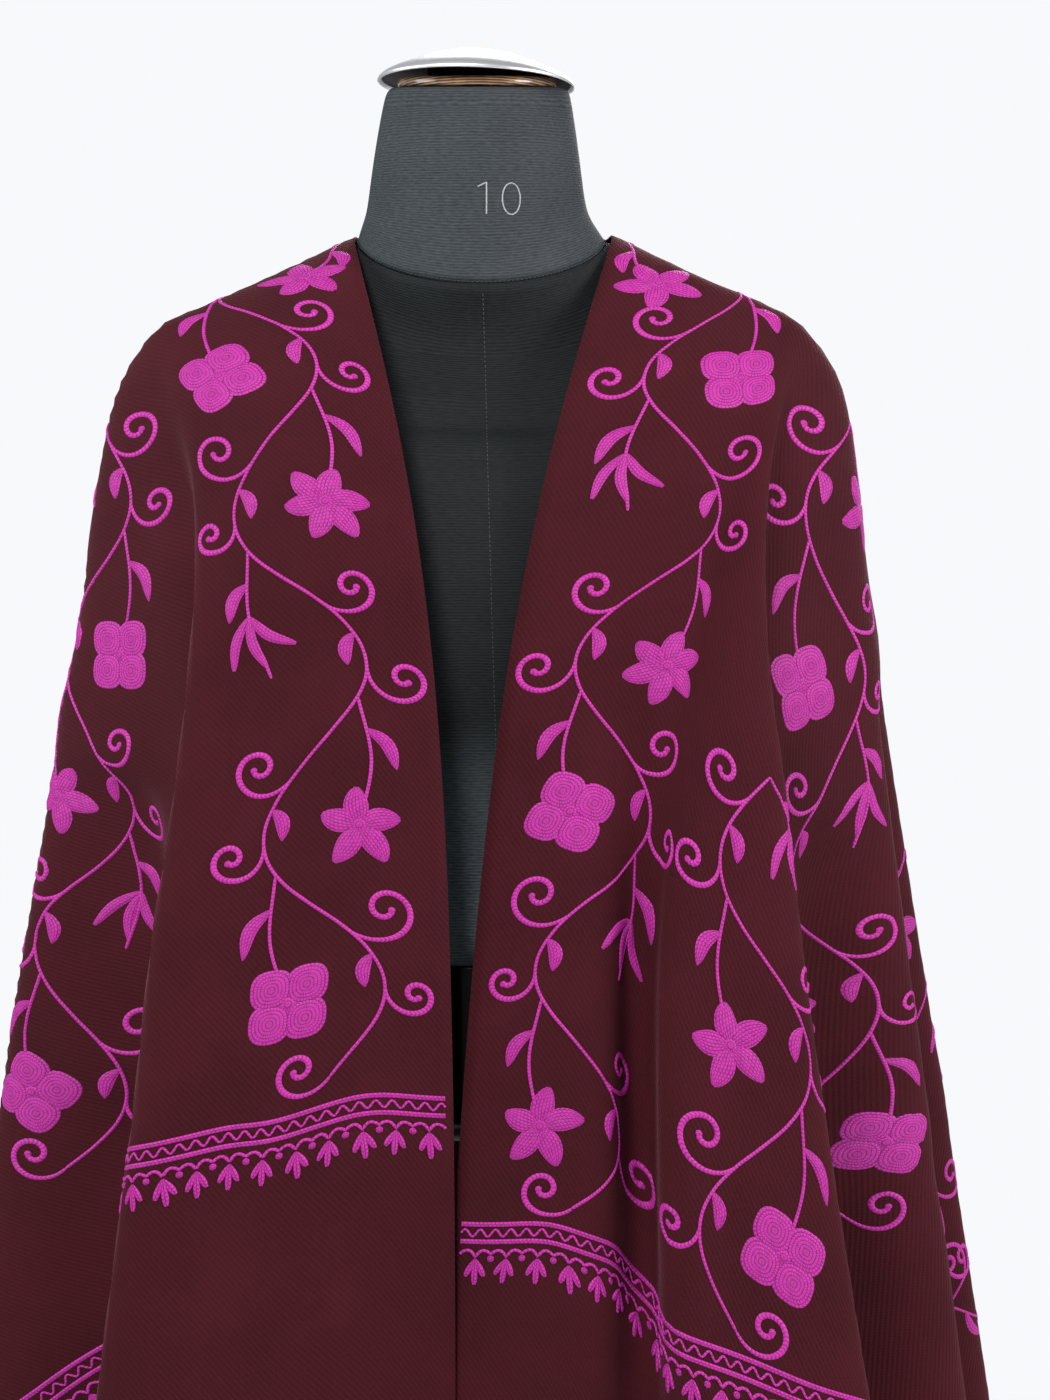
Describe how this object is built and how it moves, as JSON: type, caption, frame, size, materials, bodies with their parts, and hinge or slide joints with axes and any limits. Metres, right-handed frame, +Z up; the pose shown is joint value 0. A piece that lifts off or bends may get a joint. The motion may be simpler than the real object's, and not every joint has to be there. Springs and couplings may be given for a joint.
{
  "type": "kashmiri shawl on a dress form",
  "caption": "Rectangular embroidered wool shawl draped over both shoulders of a limbless dress form on a pole stand.",
  "frame": {"origin": "centre of the stand base's underside, on the floor", "axes": "+Z up along the pole, the form's front faces -Y, +X is the wearer's left side"},
  "size_m": [0.6978, 0.4153, 1.5019],
  "materials": {
    "burgundy_wool": "fine wool twill, matt with a soft nap, burgundy, embroidered with magenta thread",
    "magenta_thread": "slightly glossy embroidery thread in raised chain stitch",
    "black_knit": "fine black jersey stretched over the torso, matt",
    "dark_grey_knit": "dark grey ribbed knit, matt",
    "brown_wood": "layered brown wood, satin varnish",
    "polished_steel": "polished, slightly worn",
    "pale_wood": "pale varnished wood",
    "gloss_black": "smooth gloss black",
    "black_metal": "black powder coat, satin"
  },
  "bodies": {
    "root": {"shawl": "burgundy_wool", "form_torso": "black_knit", "form_neck": "dark_grey_knit", "neck_plate": "brown_wood", "neck_cap": "polished_steel", "cap_knob": "pale_wood", "hip_shell": "gloss_black", "stand_pole": "black_metal", "stand_base": "black_metal"}
  },
  "joints": []
}
